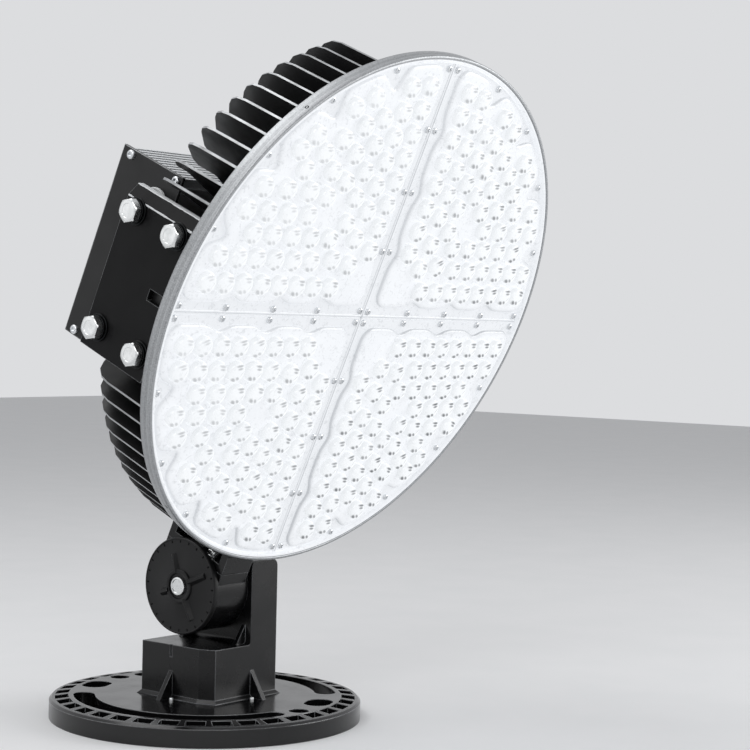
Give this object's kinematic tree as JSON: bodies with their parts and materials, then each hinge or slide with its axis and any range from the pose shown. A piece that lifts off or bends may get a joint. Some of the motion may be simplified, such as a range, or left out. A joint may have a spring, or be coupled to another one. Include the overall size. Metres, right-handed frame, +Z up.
{
  "type": "tilting round led floodlight head",
  "caption": "Round LED floodlight head with a radial-fin heat sink and rear driver housing, on a graduated tilting knuckle and a slotted round mounting flange.",
  "frame": {"origin": "centre of the mounting flange's underside", "axes": "+Z up, the lamp faces -Y, the angle dial faces -X"},
  "size_m": [0.509, 0.4488, 0.6355],
  "materials": {
    "black_casting": "semi-gloss black powder coat on aluminium castings and plates",
    "black_fins": "black coated aluminium fins, worn bright along the edges",
    "black_plastic": "fine-grained black moulding with a pale tick scale",
    "satin_aluminium": "satin turned aluminium",
    "lens_plastic": "clear moulded lens plate over lit diodes, white when lit",
    "lens_strip": "clear moulded strip between the lens panels",
    "white_board": "white solder mask on the light board",
    "zinc_steel": "bright zinc-plated steel",
    "driver_extrusion": "natural mill-finish ribbed aluminium extrusion",
    "grey_gland": "light grey nylon cable gland"
  },
  "bodies": {
    "base": {"mounting_flange": "black_casting", "pedestal": "black_casting", "pivot_bolt": "zinc_steel", "pivot_nut": "zinc_steel"},
    "head": {"tilt_arm": "black_casting", "angle_dial": "black_plastic", "head_foot": "black_casting", "foot_bolts": "zinc_steel", "heat_sink": "black_fins", "bezel_ring": "satin_aluminium", "light_board": "white_board", "lens_panel_right_upper": "lens_plastic", "lens_panel_left_upper": "lens_plastic", "lens_panel_left_lower": "lens_plastic", "lens_panel_right_lower": "lens_plastic", "lens_cross": "lens_strip", "side_bracket_left": "black_casting", "side_bracket_right": "black_casting", "bracket_bolts_left": "zinc_steel", "bracket_bolts_right": "zinc_steel", "driver_housing": "driver_extrusion", "driver_end_plate_left": "black_casting", "driver_end_plate_right": "black_casting", "driver_standoffs": "black_casting", "cable_gland": "grey_gland"}
  },
  "joints": [
    {"name": "head_tilt", "type": "hinge", "parent": "base", "child": "head", "pos_m": [0, 0.004, 0.131], "axis": [1, 0, 0], "range_deg": [-114, 65]}
  ]
}
